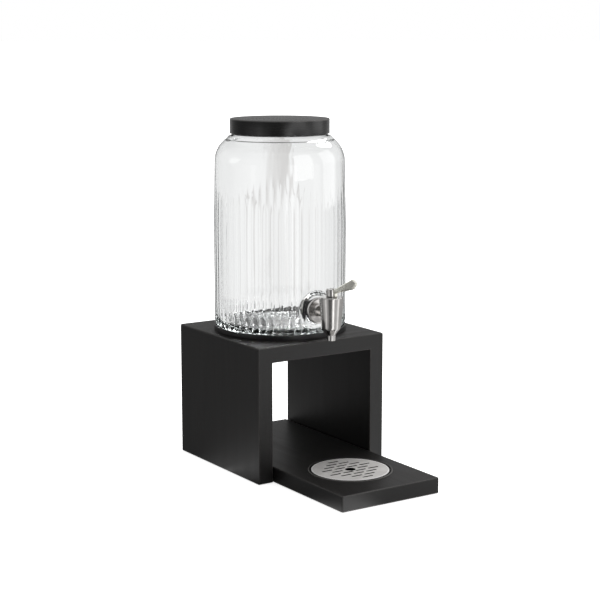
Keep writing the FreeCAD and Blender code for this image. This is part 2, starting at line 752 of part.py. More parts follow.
def valve_washer():
    """The soft washer that closes the spout, pushed onto the stem's stud."""
    body = new_body("valve_washer", ("0", TAP_Y, f"{TAP_Z} - seat_low"))
    height = "(seat_low - foot_low)"
    points = [
        ("0", "0"),
        ("washer_r", "0"),
        ("washer_r", height),
        ("stud_r", height),
        ("stud_r", f"{height} - stud_len"),
        ("0", f"{height} - stud_len"),
    ]
    spun(body, "washer_moulded", points)
    return body


def return_spring():
    """A round wire wound between the stem's foot and the underside of the bonnet."""
    low = f"{TAP_Z} + foot_t - foot_low + wire_r"
    height = "(cavity_top + foot_low - foot_t - wire_r * 2)"
    size = {"Radius": "coil_r", "Height": height, "Pitch": f"{height} / coil_turns"}
    spine = solid("Helix", "spring_spine", **size)
    wire = solid("Circle", "spring_wire", ("coil_r", "0", "0"), FORWARD, Radius="wire_r")
    spring = doc.addObject("Part::Sweep", "return_spring")
    spring.Sections = [wire]
    spring.Spine = (spine, [])
    spring.Solid = True
    spring.Frenet = True
    return place(spring, ("0", TAP_Y, low))


# ------------------------------------------------------------------------ lever

def lever():
    """A flared handle on a thin tongue; the tongue's nose lifts the stem.

    Behind the nose the tongue's underside slopes up, so that it clears the slit's floor when pressed.
    """
    body = new_body("lever", ("0", TAP_Y, f"{TAP_Z} + pin_up"))
    nose_out = "(nose_in + nose_r * 2)"
    nose_z = "(nose_r - nose_low)"
    tongue = [
        ("0", "-hub_r", "hub_r", 1),
        ("hub_r", "0", "hub_r", 1),
        ("0", "hub_r"),
        ("-root - overlap", "root_top"),
        ("-root - overlap", "root_low + overlap / 2"),
        (f"-{nose_out}", "root_low"),
        (f"-{nose_out}", nose_z, "nose_r", 1),
        ("-nose_in - nose_r", "-nose_low", "nose_r", 1),
        ("-nose_in", nose_z),
        ("-nose_in", "nose_high"),
    ]
    handle = [
        ("-root", "root_low"),
        ("-root", "root_top"),
        ("-reach_bend", "rise_top"),
        ("-reach", "rise_tip"),
        ("-reach_low", "rise_low"),
    ]
    padded(body, "handle", "YZ_Plane", handle, "handle_t", both=True)
    places = (("reach_bend", "rise_top"), ("reach", "rise_tip"), ("reach_low", "rise_low"))
    ends = [(-value(ahead), value(rise)) for ahead, rise in places]
    half = value("handle_t") / 2

    def tip_corner(edge):
        middle = edge.CenterOfMass
        return any(math.hypot(middle.y - y, middle.z - z) < 1e-3 for y, z in ends)

    def side_outline(edge):
        return all(abs(abs(vertex.Point.x) - half) < 1e-3 for vertex in edge.Vertexes) and (
            edge.BoundBox.XLength < 1e-3
        )

    rounded(body, "handle_tip", tip_corner, "tip_round")
    rounded(body, "handle_sides", side_outline, "handle_round")
    padded(body, "tongue", "YZ_Plane", tongue, "tongue_t", both=True)
    size = {"Radius": "pin_r + pin_fit", "Height": "tongue_t + 2 * over"}
    where = ("-tongue_t / 2 - over", "0", "0")
    primitive(body, "SubtractiveCylinder", "lever_hole", where, SIDEWAYS, **size)
    return body


def lever_pin():
    where = ("-pin_len / 2", TAP_Y, f"{TAP_Z} + pin_up")
    return solid("Cylinder", "lever_pin", where, SIDEWAYS, Radius="pin_r", Height="pin_len")


# --------------------------------------------------------------------- assembly

side_board("left_side_board", -1)
side_board("right_side_board", 1)
top_board()
corner_dowels()
side_x = "(stand_w / 2 - board_t / 2)"
board_ys = [f"{FRONT} + pad_inset", f"{REAR} - pad_inset"]
foot_pads("stand_feet", [f"-{side_x}", side_x], board_ys)
drip_board()
drip_x = "(stand_w / 2 - board_t - drip_gap - pad_inset)"
drip_ys = [f"{TIP} + pad_inset", f"{FRONT} + pad_inset", f"{REAR} - pad_inset"]
foot_pads("drip_board_feet", [f"-{drip_x}", drip_x], drip_ys)
drip_dish()
drip_grate()
seat_ring()
ring_screws()
jar_mat()
jar()
lid()
lid_seal()
tap_body()
tap_rose()
shank_washers()
clamp_nut()
tap_bonnet()
bonnet_o_ring()
valve_stem()
stem_o_rings()
valve_washer()
return_spring()
lever()
lever_pin()
doc.recompute()

NODES = [
    "left_side_board", "right_side_board", "top_board", "corner_dowels", "stand_feet",
    "drip_board", "drip_board_feet", "drip_dish", "drip_grate", "seat_ring", "ring_screws",
    "jar_mat", "jar", "lid", "lid_seal", "tap_body", "tap_rose", "outer_seal", "inner_seal",
    "steel_washer", "clamp_nut", "tap_bonnet", "bonnet_o_ring", "valve_stem", "stem_o_rings",
    "valve_washer", "return_spring", "lever", "lever_pin",
]

for thing in doc.Objects:
    if any(state in thing.State for state in ("Invalid", "Error")):
        raise RuntimeError(f"{thing.Label} is {thing.State}")

os.makedirs("parts", exist_ok=True)
for node in NODES:
    shape = doc.getObject(node).Shape
    if shape.isNull() or not shape.isValid():
        raise RuntimeError(f"{node} has no valid shape")
    shape.exportStep(f"parts/{node}.step")
    print(f"{node}: {len(shape.Solids)} solids, {shape.Volume / 1000:.2f} cm3")
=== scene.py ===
import math

import bmesh
import bpy
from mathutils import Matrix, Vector


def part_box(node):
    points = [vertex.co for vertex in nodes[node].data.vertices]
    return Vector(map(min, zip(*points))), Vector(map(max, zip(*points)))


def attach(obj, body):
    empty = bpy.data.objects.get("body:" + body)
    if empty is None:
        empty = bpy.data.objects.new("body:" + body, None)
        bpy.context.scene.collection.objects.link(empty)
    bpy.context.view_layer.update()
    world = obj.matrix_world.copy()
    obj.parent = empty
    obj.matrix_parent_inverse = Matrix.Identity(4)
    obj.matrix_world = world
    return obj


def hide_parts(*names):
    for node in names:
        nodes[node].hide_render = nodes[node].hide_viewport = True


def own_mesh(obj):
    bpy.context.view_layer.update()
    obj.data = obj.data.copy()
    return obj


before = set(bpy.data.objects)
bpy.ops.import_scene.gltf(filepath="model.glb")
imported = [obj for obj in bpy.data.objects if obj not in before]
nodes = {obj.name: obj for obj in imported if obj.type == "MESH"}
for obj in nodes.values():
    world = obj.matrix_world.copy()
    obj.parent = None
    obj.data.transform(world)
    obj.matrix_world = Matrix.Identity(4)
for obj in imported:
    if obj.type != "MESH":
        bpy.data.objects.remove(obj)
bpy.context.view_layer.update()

# ------------------------------------------------------------------ camera

CAMERA_SPOT = (-1.2538, -1.8677, 0.6559)
CAMERA_DOWN = math.radians(10.03)
CAMERA_TURN = math.radians(-33.43)
CAMERA_LENS = 93.2


def add_camera():
    data = bpy.data.cameras.new("camera")
    data.lens = CAMERA_LENS
    camera = bpy.data.objects.new("camera", data)
    camera.location = CAMERA_SPOT
    camera.rotation_euler = (math.pi / 2 - CAMERA_DOWN, 0, CAMERA_TURN)
    bpy.context.scene.collection.objects.link(camera)
    bpy.context.scene.camera = camera


# --------------------------------------------------------- material helpers

class Nodes:
    """A small wrapper that adds and links shader nodes."""

    def __init__(self, tree):
        self.tree = tree
        tree.nodes.clear()

    def add(self, kind, inputs=None, **settings):
        node = self.tree.nodes.new(kind)
        for name, setting in settings.items():
            setattr(node, name, setting)
        for name, source in (inputs or {}).items():
            self.feed(node.inputs[name], source)
        return node

    def feed(self, socket, source):
        if isinstance(source, bpy.types.NodeSocket):
            self.tree.links.new(source, socket)
        else:
            socket.default_value = source

    def math(self, operation, a, b=None, clamp=False):
        node = self.add("ShaderNodeMath", operation=operation, use_clamp=clamp)
        self.feed(node.inputs[0], a)
        if b is not None:
            self.feed(node.inputs[1], b)
        return node.outputs[0]

    def ramp(self, source, stops, smooth=False):
        """A colour ramp; a stop is its place and a grey value or a colour."""
        node = self.add("ShaderNodeValToRGB", {"Fac": source})
        node.color_ramp.interpolation = "EASE" if smooth else "LINEAR"
        points = node.color_ramp.elements
        while len(points) < len(stops):
            points.new(0.5)
        for point, (where, shade) in zip(points, stops):
            point.position = where
            point.color = tuple(shade) + (1,) if hasattr(shade, "__len__") else (shade, shade, shade, 1)
        return node.outputs["Color"]

    def span(self, source, low, high, to_low=0.0, to_high=1.0):
        inputs = {"Value": source, "From Min": low, "From Max": high,
                  "To Min": to_low, "To Max": to_high}
        return self.add("ShaderNodeMapRange", inputs).outputs["Result"]

    def place(self, stretch=(1, 1, 1), turn=(0, 0, 0), shift=(0, 0, 0)):
        """The object's own coordinates, which are the frame's, stretched for a texture."""
        spot = self.add("ShaderNodeTexCoord").outputs["Object"]
        inputs = {"Vector": spot, "Location": shift, "Rotation": turn, "Scale": stretch}
        return self.add("ShaderNodeMapping", inputs).outputs["Vector"]

    def about(self, axis):
        """The object's coordinates with a vertical axis as their origin, and the distance from that axis."""
        split = self.add("ShaderNodeSeparateXYZ", {"Vector": self.place(shift=(-axis[0], -axis[1], 0))})
        squares = [self.math("POWER", split.outputs[way], 2.0) for way in "XY"]
        return split, self.math("SQRT", self.math("ADD", *squares))

    def noise(self, where, scale, detail=3.0, rough=0.5, bend=0.0):
        inputs = {"Vector": where, "Scale": scale, "Detail": detail, "Roughness": rough,
                  "Distortion": bend}
        return self.add("ShaderNodeTexNoise", inputs).outputs["Fac"]

    def bump(self, height, distance, strength=1.0, normal=None):
        inputs = {"Height": height, "Distance": distance, "Strength": strength}
        if normal is not None:
            inputs["Normal"] = normal
        return self.add("ShaderNodeBump", inputs).outputs["Normal"]

    def mix(self, share, a, b):
        node = self.add("ShaderNodeMix", data_type="RGBA")
        for i, source in ((0, share), (6, a), (7, b)):
            self.feed(node.inputs[i], source)
        return node.outputs[2]

    def finish(self, **inputs):
        """The shader and the output. Names use underscores for spaces."""
        shader = self.add("ShaderNodeBsdfPrincipled")
        for name, source in inputs.items():
            self.feed(shader.inputs[name.replace("_", " ")], source)
        output = self.add("ShaderNodeOutputMaterial")
        self.tree.links.new(shader.outputs[0], output.inputs["Surface"])
        return output


def new_material(name):
    material = bpy.data.materials.new(name)
    material.use_nodes = True
    return material, Nodes(material.node_tree)


def edge_wear_and_highlight(n, low, high, reach):
    """1 on the edges of a box and 0 further in than reach: the two nearest faces' distances added."""
    spot = n.add("ShaderNodeTexCoord").outputs["Object"]
    split = n.add("ShaderNodeSeparateXYZ", {"Vector": spot})
    gaps = []
    for i, axis in enumerate("XYZ"):
        middle, half = (low[i] + high[i]) / 2, (high[i] - low[i]) / 2
        off = n.math("ABSOLUTE", n.math("SUBTRACT", split.outputs[axis], middle))
        gaps.append(n.math("MAXIMUM", n.math("SUBTRACT", half, off), 0.0))
    widest = n.math("MAXIMUM", n.math("MAXIMUM", gaps[0], gaps[1]), gaps[2])
    total = n.math("ADD", n.math("ADD", gaps[0], gaps[1]), gaps[2])
    return n.span(n.math("SUBTRACT", total, widest), reach, 0.0)


# ---------------------------------------------------------------- materials

def stained_wood(name, node, grain):
    """Black stained and matt lacquered wood. The grain runs along one axis of the frame. Its edges are
    lightened, partly as wear and partly as a painted highlight.
    """
    material, n = new_material(name)
    low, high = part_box(node)
    along = [1.0 if axis != grain else 0.06 for axis in "XYZ"]
    where = n.place(along, shift=(0.13, 0.31, 0.07))
    broad = n.noise(where, 38.0, 4.0, 0.55, 1.4)
    fine = n.noise(where, 420.0, 5.0, 0.65)
    pores = n.noise(n.place([a if a < 1 else 1.6 for a in along]), 900.0, 2.0, 0.5)
    shade = n.ramp(broad, [
        (0.30, (0.0066, 0.0060, 0.0058)), (0.50, (0.0082, 0.0075, 0.0072)),
        (0.72, (0.0102, 0.0094, 0.0090)),
    ])
    streak = n.ramp(fine, [(0.35, 0.0), (0.70, 1.0)])
    shade = n.mix(n.math("MULTIPLY", streak, 0.25), shade, (0.018, 0.017, 0.0165, 1))
    # Painted highlight: the boards' edges are lightened, partly as rubbed wear and partly as a painted
    # highlight of the light the edges catch.
    wear_plus_highlight = n.math("MULTIPLY", edge_wear_and_highlight(n, low, high, WOOD_WEAR_AND_HIGHLIGHT_REACH), n.span(fine, 0.3, 0.7, 0.25, 1.0))
    shade = n.mix(n.math("MULTIPLY", wear_plus_highlight, 0.75), shade, (0.125, 0.119, 0.114, 1))
    rough = n.span(broad, 0.3, 0.7, 0.36, 0.46)
    height = n.math("ADD", n.math("MULTIPLY", fine, 0.6), n.math("MULTIPLY", pores, 0.4))
    n.finish(Base_Color=shade, Roughness=rough, Specular_IOR_Level=0.45,
             Normal=n.bump(height, 0.00022, 0.55))
    return material


def clear_glass():
    """Clear pressed glass with a faint green body and slight draw lines."""
    material, n = new_material("clear_glass")
    lines = n.noise(n.place((1.0, 1.0, 0.05)), 55.0, 2.0, 0.5)
    ripple = n.noise(n.place((1.0, 1.0, 0.6)), 24.0, 1.0, 0.5)
    height = n.math("ADD", n.math("MULTIPLY", lines, 0.5), ripple)
    output = n.finish(
        Base_Color=(1.0, 1.0, 1.0, 1), Roughness=0.0, IOR=1.5, Transmission_Weight=1.0,
        Normal=n.bump(height, 0.0006, 0.5),
    )
    body = n.add("ShaderNodeVolumeAbsorption", {"Color": (0.74, 0.93, 0.91, 1), "Density": 5.0})
    n.tree.links.new(body.outputs[0], output.inputs["Volume"])
    return material


def steel(name, grain, tone=(0.60, 0.585, 0.57), rough=(0.13, 0.22), scratch=0.00006, metal=1.0):
    """Stainless steel with fine marks across the grain's stretch."""
    material, n = new_material(name)
    marks = n.noise(n.place(grain), 60.0, 6.0, 0.6)
    cloud = n.noise(n.place(), 45.0, 2.0)
    fleck = n.ramp(cloud, [(0.3, [c * 0.9 for c in tone]), (0.7, [min(1, c * 1.08) for c in tone])])
    n.finish(
        Base_Color=fleck, Metallic=metal, Roughness=n.span(marks, 0.3, 0.7, *rough),
        Normal=n.bump(marks, scratch, 0.5),
    )
    return material


RIM_WIDTH, RIM_HIGHLIGHT_BLEND, SLOT_SHADE_BLEND = 0.0024, 0.0008, 0.0006
HIGHLIGHT_FADE, HIGHLIGHT_FULL = 0.0024, 0.0012
WOOD_WEAR_AND_HIGHLIGHT_REACH = 0.0019


def punched_steel(name, centre, reach):
    """A brushed disc with painted shade on the walls of its slots and a painted highlight on its rolled rim.
    """
    material, n = new_material(name)
    marks = n.noise(n.place((0.08, 3.0, 3.0)), 60.0, 6.0, 0.6)
    cloud = n.noise(n.place(), 45.0, 2.0)
    radius = n.about(centre)[1]
    shade = n.ramp(cloud, [(0.3, (0.74, 0.72, 0.70)), (0.7, (0.85, 0.83, 0.81))])
    normal = n.add("ShaderNodeNewGeometry").outputs["Normal"]
    face = n.add("ShaderNodeSeparateXYZ", {"Vector": normal})
    # Painted shade: the steep walls of the slots, inside the rim, are darkened.
    wall = n.span(n.math("ABSOLUTE", face.outputs["Z"]), 0.75, 0.35)
    inside = n.span(radius, reach - RIM_WIDTH, reach - RIM_WIDTH - SLOT_SHADE_BLEND)
    shade = n.mix(n.math("MULTIPLY", wall, inside), shade, (0.02, 0.018, 0.016, 1))
    # Painted highlight: a bright ring on the rolled rim.
    rim = n.span(radius, reach - RIM_WIDTH, reach - RIM_WIDTH + RIM_HIGHLIGHT_BLEND)
    shade = n.mix(rim, shade, (1.0, 0.99, 0.98, 1))
    n.finish(
        Base_Color=shade, Metallic=0.70, Roughness=n.span(marks, 0.3, 0.7, 0.50, 0.60),
        Normal=n.bump(marks, 0.00003, 0.5),
    )
    return material


def moulded(name, tone, rough, grain=900.0, relief=0.00004):
    """Moulded plastic or rubber: an even colour with a fine eroded grain."""
    material, n = new_material(name)
    grit = n.noise(n.place(), grain, 4.0, 0.6)
    cloud = n.noise(n.place(), 40.0, 2.0)
    shade = n.ramp(cloud, [(0.3, [c * 0.82 for c in tone]), (0.7, [c * 1.15 for c in tone])])
    n.finish(
        Base_Color=shade, Roughness=n.span(grit, 0.3, 0.7, rough - 0.05, rough + 0.06),
        Normal=n.bump(grit, relief, 0.6),
    )
    return material


def turned_plastic(name, centre, tone, rough, edge=None, shine=0.5):
    """Black plastic with the fine rings of a turned mould. An edge is the radius, height and tone of
    a painted highlight on the outer corner."""
    material, n = new_material(name)
    split, radius = n.about(centre)
    rings = n.add("ShaderNodeCombineXYZ", {"X": radius, "Z": split.outputs["Z"]}).outputs[0]
    lines = n.noise(rings, 1500.0, 3.0, 0.55)
    cloud = n.noise(n.place(), 30.0, 3.0)
    shade = n.ramp(cloud, [(0.3, [c * 0.85 for c in tone]), (0.7, [c * 1.15 for c in tone])])
    if edge:
        # Painted highlight: a lighter tone on the outer top corner, where the edge catches the light.
        off = n.math("SUBTRACT", edge[0] + edge[1], n.math("ADD", radius, split.outputs["Z"]))
        shade = n.mix(n.span(off, HIGHLIGHT_FADE, HIGHLIGHT_FULL), shade, tuple(edge[2]) + (1,))
    n.finish(
        Base_Color=shade, Roughness=n.span(lines, 0.3, 0.7, rough - 0.05, rough + 0.07),
        Specular_IOR_Level=shine, Normal=n.bump(lines, 0.00003, 0.6),
    )
    return material


def plain_wood(name):
    material, n = new_material(name)
    grain = n.noise(n.place((1, 1, 0.2)), 160.0, 4.0)
    shade = n.ramp(grain, [(0.3, (0.50, 0.34, 0.19)), (0.7, (0.68, 0.50, 0.31))])
    n.finish(Base_Color=shade, Roughness=0.6, Normal=n.bump(grain, 0.0001, 0.5))
    return material


# ------------------------------------------------------------- mesh helpers

def softened(points, steps=6):
    """An outline whose corners are rounded. A point is r, z and its corner's radius."""
    made = []
    count = len(points)
    for i, (r, z, size) in enumerate(points):
        here = Vector((r, z))
        if size <= 0 or i in (0, count - 1):
            made.append((r, z))
            continue
        back = (Vector(points[i - 1][:2]) - here).normalized()
        ahead = (Vector(points[i + 1][:2]) - here).normalized()
        half = back.angle(ahead) / 2
        reach = size / math.tan(half)
        middle = here + (back + ahead).normalized() * (size / math.sin(half))
        first, last = here + back * reach - middle, here + ahead * reach - middle
        sweep = first.angle_signed(last)
        for k in range(steps + 1):
            turn = -sweep * k / steps
            c, s = math.cos(turn), math.sin(turn)
            made.append((middle.x + first.x * c - first.y * s, middle.y + first.x * s + first.y * c))
    return made


def mesh_object(name, spots, faces, material, sharp=35.0):
    mesh = bpy.data.meshes.new(name)
    mesh.from_pydata(spots, [], faces)
    tidy = bmesh.new()
    tidy.from_mesh(mesh)
    bmesh.ops.recalc_face_normals(tidy, faces=tidy.faces)
    tidy.to_mesh(mesh)
    tidy.free()
    mesh.shade_smooth()
    mesh.set_sharp_from_angle(angle=math.radians(sharp))
    mesh.materials.append(material)
    piece = bpy.data.objects.new(name, mesh)
    bpy.context.scene.collection.objects.link(piece)
    return piece


def lathe(name, outline, centre, material, columns=160, sharp=35.0):
    """Turns an outline about a vertical axis. It may begin and end on the axis."""
    spots, rows = [], []
    for r, z in outline:
        if r < 1e-6:
            rows.append([len(spots)] * columns)
            spots.append((centre[0], centre[1], centre[2] + z))
            continue
        rows.append(list(range(len(spots), len(spots) + columns)))
        for j in range(columns):
            a = 2 * math.pi * j / columns
            spots.append((centre[0] + r * math.cos(a), centre[1] + r * math.sin(a), centre[2] + z))
    closed = outline[0][0] > 1e-6
    faces = []
    for i in range(len(rows) if closed else len(rows) - 1):
        lower, upper = rows[i], rows[(i + 1) % len(rows)]
        for j in range(columns):
            k = (j + 1) % columns
            face = [lower[j], lower[k], upper[k], upper[j]]
            faces.append(list(dict.fromkeys(face)))
    return mesh_object(name, spots, faces, material, sharp)


def stands_for(piece, body, slot, *cad):
    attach(piece, body)
    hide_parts(*cad)
    return piece


def dress(material, *names):
    """Gives CAD nodes a better material in their own slots."""
    for name in names:
        mesh = nodes[name].data
        mesh.materials.clear()
        mesh.materials.append(material)


# ---------------------------------------------------------------- glass jar
# Radii are from the jar's axis and heights from its base. The ribs are counted once round the jar.

RIBS = 56
RIB_STEPS = 8
JAR_LOW, JAR_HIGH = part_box("jar")
LID_LOW, LID_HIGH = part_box("lid")
JAR_AXIS = ((LID_LOW.x + LID_HIGH.x) / 2, (LID_LOW.y + LID_HIGH.y) / 2)
JAR_BASE = JAR_LOW.z
JAR_R = JAR_HIGH.x - JAR_AXIS[0]
JAR_TALL = JAR_HIGH.z - JAR_BASE
WALL = 0.0045
GLASS_FLOOR = 0.008
PUNT_RISE, PUNT_R = 0.0042, 0.068
HEEL_IN, HEEL_ROUND = 0.0003, 0.014
STRAIGHT_TOP = 0.160
SHOULDER_IN, SHOULDER_UP, SHOULDER_ROUND = 0.0022, 0.2687, 0.040
LEDGE_OUT, LEDGE_IN, LEDGE_LOW, LEDGE_HIGH = 0.0822, 0.0808, 0.2838, 0.2852
NECK_FOOT_R, NECK_FOOT_UP = 0.077, 0.289
NECK_R, NECK_UP, LIP_R, MOUTH_R = 0.0705, 0.2915, 0.068, 0.0655
HEEL_RELIEF, WALL_RELIEF = 0.0026, 0.00042
FLUTE_RELIEF, FLOOR_RELIEF, WAVE_RELIEF = 0.0012, 0.0008, 0.00022
INNER_SHARE = 0.10
WALL_FROM = 0.085
HOLE_R = 0.008
HOLE_UP = (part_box("outer_seal")[0].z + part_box("outer_seal")[1].z) / 2 - JAR_BASE
BOSS_R = 0.023
BOSS_FACE = JAR_AXIS[1] - JAR_LOW.y
BOSS_LAND = BOSS_FACE - 0.0085
BOSS_BLOCK = 0.035
BOSS_INWARD, BOSS_OUTWARD = 0.0020, 0.0065
PATCH_R = 0.0993
BOSS_RINGS = [0.0086, 0.011, 0.014, 0.017, 0.0195] + [0.0207 + 0.001 * i for i in range(9)] + [0.0298]
EDGE_RINGS = 7
FINE_STEP, COARSE_STEP = 0.0021, 0.005


def smooth_step(value, low, high):
    t = min(1.0, max(0.0, (value - low) / (high - low)))
    return t * t * (3 - 2 * t)


def rib_depth(z):
    """How deep the grooves between the ribs are at a height above the jar's base."""
    heel = HEEL_RELIEF * (1 - smooth_step(z, 0.012, 0.044))
    wall = WALL_RELIEF * (1 - smooth_step(z, 0.176, 0.226))
    return max(heel, wall)


def groove(turn):
    """0 on a rib's crown and 1 in the groove between two ribs."""
    return (1 - abs(math.sin(turn * RIBS / 2))) ** 1.25


def waves(turn, z):
    """The slight unevenness of blown glass, from 0 to 1."""
    a = math.sin(3 * turn + 1.3 + 9 * z)
    b = math.sin(7 * turn + 0.4 - 17 * z)
    c = math.sin(13 * turn + 2.1 + 31 * z)
    return 0.5 + 0.22 * a + 0.16 * b + 0.10 * c


def jar_outlines():
    """The outer outline upwards and the inner one downwards, as r, z and corner radius."""
    punt = [(0.0, 0.0), (0.010, 0.0001), (0.022, 0.0006), (0.036, 0.0014), (0.050, 0.0024), (0.060, 0.0033)]
    outer = softened([(r, PUNT_RISE - drop, 0) for r, drop in punt] + [
        (PUNT_R, 0.0, 0.002), (JAR_R - HEEL_IN, 0.0, HEEL_ROUND), (JAR_R, STRAIGHT_TOP, 0),
        (JAR_R - SHOULDER_IN, SHOULDER_UP, SHOULDER_ROUND), (LEDGE_OUT, LEDGE_LOW, 0.0006),
        (LEDGE_IN, LEDGE_LOW, 0.0005), (LEDGE_IN, LEDGE_HIGH, 0.0005),
        (NECK_FOOT_R, NECK_FOOT_UP, 0.0028), (NECK_R, NECK_UP, 0.0012), (NECK_R, JAR_TALL, 0.0015),
        (LIP_R, JAR_TALL, 0),
    ], 12)
    slope = NECK_FOOT_R + NECK_FOOT_UP - WALL * math.sqrt(2)
    shoulder_r = JAR_R - SHOULDER_IN - WALL
    inner = softened([
        (LIP_R, JAR_TALL, 0), (MOUTH_R, JAR_TALL, 0.0015), (MOUTH_R, slope - MOUTH_R, WALL),
        (shoulder_r, slope - shoulder_r, SHOULDER_ROUND - WALL), (JAR_R - WALL, STRAIGHT_TOP, 0),
        (JAR_R - HEEL_IN - WALL, GLASS_FLOOR, HEEL_ROUND - WALL), (0.0, GLASS_FLOOR, 0),
    ], 10)
    return outer, inner


def divided(outline, longest):
    """The outline with its long straight runs cut into shorter ones."""
    made = [outline[0]]
    for (r0, z0), (r1, z1) in zip(outline, outline[1:]):
        parts = max(1, math.ceil(math.hypot(r1 - r0, z1 - z0) / longest(min(z0, z1))))
        for k in range(1, parts + 1):
            made.append((r0 + (r1 - r0) * k / parts, z0 + (z1 - z0) * k / parts))
    return made


def outward(outline, i):
    """The unit normal of an outline at a point, to the right of its way."""
    (r0, z0), (r1, z1) = outline[max(i - 1, 0)], outline[min(i + 1, len(outline) - 1)]
    size = math.hypot(r1 - r0, z1 - z0) or 1.0
    return (z1 - z0) / size, -(r1 - r0) / size


def flute(r, z, turn):
    """How much the flutes pressed under the base lift it at a point of its underside."""
    inside = smooth_step(r, 0.012, 0.030) * (1 - smooth_step(r, 0.062, PUNT_R)) * (z < 0.006)
    return FLUTE_RELIEF * inside * abs(math.sin(turn * RIBS / 2))


def floor_relief(r, turn):
    """The shallow flutes of the jar's inner floor."""
    return FLOOR_RELIEF * smooth_step(r, 0.018, 0.045) * abs(math.sin(turn * RIBS / 2 + 0.7))


def wall_point(outline, i, turn, outside):
    """A point of the ribbed wall at an angle; turn 0 faces the tap."""
    r, z = outline[i]
    if not outside and z < GLASS_FLOOR + 0.0005:
        return r, z - floor_relief(r, turn)
    if outside and r < PUNT_R + 0.0005:
        return r, z + flute(r, z, turn)
    n_r, n_z = outward(outline, i)
    share = 1.0 if outside else INNER_SHARE
    calm = smooth_step(r, 0.055, 0.082) if z < 0.1 else smooth_step(r, 0.060, 0.090)
    depth = share * rib_depth(z) * groove(turn) + WAVE_RELIEF * waves(turn, z) * calm
    if not outside:
        depth = -depth
    return r - n_r * depth, z - n_z * depth * calm


def boss_share(x, z):
    """1 on the tap's boss, 0 away from it, with a moulded edge between."""
    return 1 - smooth_step(math.hypot(x, z - HOLE_UP), BOSS_R - BOSS_INWARD, BOSS_R + BOSS_OUTWARD)


def glass_jar(material):
    """The ribbed jar: one closed skin, with a round patch about the tap's hole."""
    columns = RIBS * RIB_STEPS
    outer, inner = jar_outlines()

    def longest(z):
        return FINE_STEP if z < HOLE_UP + BOSS_BLOCK + 0.004 else COARSE_STEP

    outer = divided(outer, longest)
    inner = divided(inner, longest)
    spots, faces, rims = [], [], []

    def add(x, y, z):
        spots.append((JAR_AXIS[0] + x, JAR_AXIS[1] + y, JAR_BASE + z))
        return len(spots) - 1

    quarter = range(columns // 4)
    half = max(j for j in quarter if math.sin(2 * math.pi * j / columns) * JAR_R < BOSS_BLOCK)
    block = {j % columns for j in range(-half, half)}
    last_row = None
    for outline, outside in ((outer, True), (inner, False)):
        wall = [i for i, (r, z) in enumerate(outline) if r > WALL_FROM]
        rows = [i for i in wall if abs(outline[i][1] - HOLE_UP) < BOSS_BLOCK]
        first, last = min(rows), max(rows)
        grid = []
        for i, (r, z) in enumerate(outline):
            if r < 1e-6:
                grid.append([add(0, 0, z)] * columns)
                continue
            row = []
            for j in range(columns):
                if first < i < last and j in block and (j - 1) % columns in block:
                    row.append(None)
                    continue
                turn = 2 * math.pi * j / columns
                rr, zz = wall_point(outline, i, turn, outside)
                row.append(add(rr * math.sin(turn), -rr * math.cos(turn), zz))
            grid.append(row)
        if last_row is not None:
            grid[0] = last_row
        for i in range(len(grid) - 1):
            for j in range(columns):
                if first <= i < last and j in block:
                    continue
                k = (j + 1) % columns
                face = [grid[i][j], grid[i][k], grid[i + 1][k], grid[i + 1][j]]
                faces.append(list(dict.fromkeys(face)))
        last_row = grid[-1]
        rims.append(boss_patch(outline, first, last, half, grid, columns, outside, spots, faces, add))
    hole_tube(rims, spots, faces)
    piece = mesh_object("ribbed_jar", spots, faces, material, 60.0)
    return stands_for(piece, "jar", "jar_glass", "jar")


def boss_patch(outline, first, last, half, grid, columns, outside, spots, faces, add):
    """Fills the block about the boss with rings that run from its edge to the hole."""
    edge = [grid[first][j % columns] for j in range(-half, half)]
    edge += [grid[i][half] for i in range(first, last)]
    edge += [grid[last][j % columns] for j in range(half, -half, -1)]
    edge += [grid[i][-half % columns] for i in range(last, first, -1)]
    heights = [z for r, z in outline]

    def surface(x, z):
        i = min(range(first, last + 1), key=lambda k: abs(heights[k] - z))
        k = i + 1 if (heights[i] < z) == (heights[first] < heights[last]) else i - 1
        k = min(max(k, first), last)
        t = 0.0 if k == i else (z - heights[i]) / (heights[k] - heights[i])
        turn = math.asin(max(-1.0, min(1.0, x / PATCH_R)))
        r = sum(w * wall_point(outline, m, turn, outside)[0] for m, w in ((i, 1 - t), (k, t)))
        wall = math.sqrt(max(r * r - x * x, 0))
        flat = BOSS_FACE if outside else min(wall, BOSS_LAND)
        share = boss_share(x, z)
        if outside:
            flat = max(wall, flat)
        return -(wall + (flat - wall) * share)

    rings = [HOLE_R] + BOSS_RINGS
    loops = [edge]
    for step in range(1, EDGE_RINGS + len(rings)):
        loop = []
        for v in edge:
            x, z = spots[v][0] - JAR_AXIS[0], spots[v][2] - JAR_BASE
            angle = math.atan2(z - HOLE_UP, x)
            if step < EDGE_RINGS:
                t = step / EDGE_RINGS
                ring = rings[-1]
                px = x + (ring * math.cos(angle) - x) * t
                pz = z + (HOLE_UP + ring * math.sin(angle) - z) * t
            else:
                ring = rings[len(rings) - 1 - (step - EDGE_RINGS)]
                px, pz = ring * math.cos(angle), HOLE_UP + ring * math.sin(angle)
            loop.append(add(px, surface(px, pz), pz))
        loops.append(loop)
    for a, b in zip(loops, loops[1:]):
        for j in range(len(a)):
            k = (j + 1) % len(a)
            faces.append([a[j], a[k], b[k], b[j]])
    return loops[-1]


